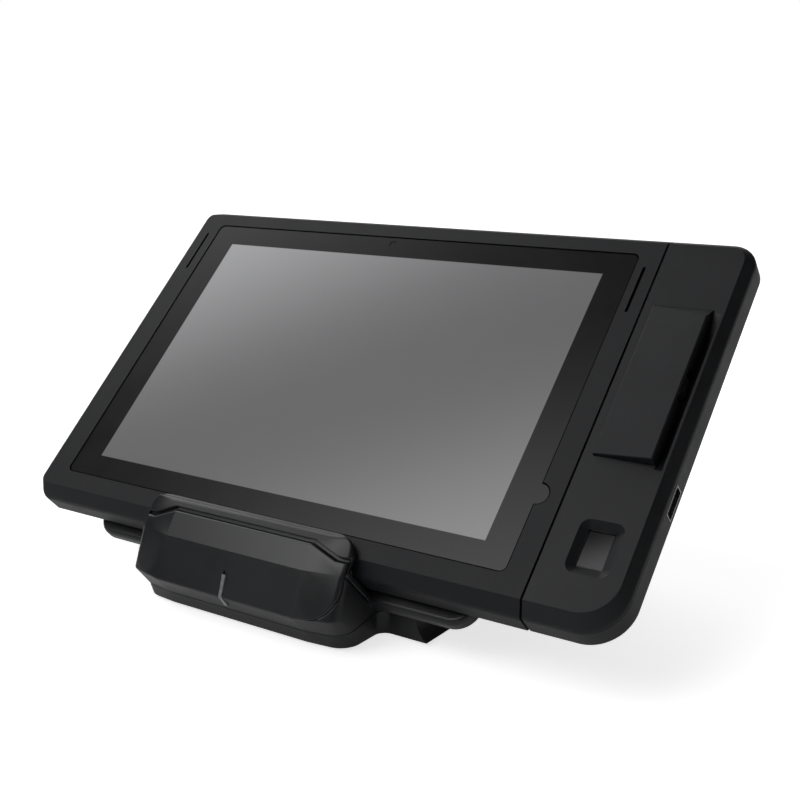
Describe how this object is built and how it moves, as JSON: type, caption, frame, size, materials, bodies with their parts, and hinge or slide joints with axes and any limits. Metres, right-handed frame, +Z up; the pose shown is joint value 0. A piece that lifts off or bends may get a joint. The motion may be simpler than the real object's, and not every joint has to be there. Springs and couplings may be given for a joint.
{
  "type": "self checkout terminal",
  "caption": "Tablet-type self checkout terminal leaning back in a weighted countertop dock, with a side module that holds a card swipe slot, a fingerprint window and a port.",
  "frame": {"origin": "centre of the dock's underside pad, on the table plane, straight below the centre of the display", "axes": "+Z up, +X to the right of a person facing the screen, -Y towards that person"},
  "size_m": [0.3094, 0.1621, 0.16],
  "materials": {
    "tablet_housing": "fine spark-eroded texture, satin black",
    "module_housing": "fine spark-eroded texture, satin black",
    "reader_plastic": "smooth satin black",
    "dock_housing": "fine texture, satin black",
    "dock_cover": "fine grain, satin black",
    "panel_plastic": "fine texture",
    "cover_glass": "back-printed cover glass, dark border",
    "display": "display switched off, soft grey",
    "lens": "coated camera lens",
    "sensor_window": "polished dark window",
    "light_guide": "frosted clear",
    "button_plastic": "satin black",
    "rubber": "dull black",
    "circuit_board": "solder mask",
    "battery_wrap": "wrapped pouch",
    "speaker_plastic": "moulded",
    "socket_plastic": "moulded black",
    "plated_steel": "nickel plated",
    "screw_steel": "black zinc",
    "pin_steel": "ground",
    "spring_steel": "drawn wire and strip",
    "contact_gold": "gold plated",
    "spreader": "extruded",
    "chassis": "stamped sheet",
    "ballast": "plain steel plate",
    "latch_plastic": "grey acetal"
  },
  "bodies": {
    "dock": {"dock_base": "dock_housing", "dock_shell": "dock_housing", "front_cover": "dock_cover", "light_guide": "light_guide", "led_board": "circuit_board", "cradle": "dock_housing", "cradle_pads": "rubber", "guide_posts": "pin_steel", "catch_pin": "pin_steel", "catch_bracket": "pin_steel", "catch_spring": "spring_steel", "rubber_feet": "rubber", "centre_pad": "rubber", "ballast_plate": "ballast", "base_screws": "screw_steel", "dock_board": "circuit_board", "io_panel": "panel_plastic", "network_socket": "plated_steel", "usb_sockets": "plated_steel", "power_socket": "socket_plastic"},
    "tablet": {"bezel_frame": "tablet_housing", "rear_cover": "tablet_housing", "module_front_shell": "module_housing", "module_rear_shell": "module_housing", "reader_cover": "reader_plastic", "touch_glass": "cover_glass", "display_panel": "display", "front_camera": "lens", "rear_camera": "lens", "fingerprint_sensor": "sensor_window", "main_board": "circuit_board", "module_board": "circuit_board", "battery_pack": "battery_wrap", "speaker_left": "speaker_plastic", "speaker_right": "speaker_plastic", "dock_receptacle": "socket_plastic", "usb_port_tongue": "socket_plastic", "link_connector": "socket_plastic", "usb_port_shell": "plated_steel", "charge_port": "plated_steel", "tablet_screws": "screw_steel", "module_screws": "screw_steel", "head_spring": "spring_steel", "heat_spreader": "spreader", "chassis_plate": "chassis"},
    "power_button": {"power_button": "button_plastic"},
    "volume_rocker": {"volume_rocker": "button_plastic"},
    "reader_head": {"magnetic_head": "pin_steel"},
    "docking_plug": {"dock_plug": "socket_plastic", "contact_pins": "contact_gold"},
    "catch": {"catch_lever": "latch_plastic"},
    "release": {"release_button": "button_plastic"}
  },
  "joints": [
    {"name": "tablet_lift_off", "type": "slide", "parent": "dock", "child": "tablet", "axis": [0, 0.723, 0.6909], "range_m": [0, 0.03]},
    {"name": "power_press", "type": "slide", "parent": "tablet", "child": "power_button", "axis": [1, 0, 0], "range_m": [0, 0.0008], "stiffness_N_per_m": 1500},
    {"name": "volume_rock", "type": "hinge", "parent": "tablet", "child": "volume_rocker", "pos_m": [-0.1326, 0.0275, 0.11135], "axis": [0, -0.6909, 0.723], "range_deg": [-2.5, 2.5], "stiffness_Nm_per_rad": 0.3},
    {"name": "reader_head_press", "type": "slide", "parent": "tablet", "child": "reader_head", "axis": [-1, 0, 0], "range_m": [0, 0.0008], "stiffness_N_per_m": 1500},
    {"name": "docking_plug_float", "type": "slide", "parent": "dock", "child": "docking_plug", "axis": [0, -0.723, -0.6909], "range_m": [0, 0.0012], "stiffness_N_per_m": 1500},
    {"name": "release_press", "type": "slide", "parent": "dock", "child": "release", "axis": [0, -0.723, -0.6909], "range_m": [0, 0.004], "stiffness_N_per_m": 900},
    {"name": "catch_turn", "type": "hinge", "parent": "dock", "child": "catch", "pos_m": [0, 0.00752, 0.05699], "axis": [1, 0, 0], "range_deg": [0, 6]}
  ],
  "couplings": [
    {"joint": "catch_turn", "follows": "release_press", "rad_per_m": 25}
  ]
}
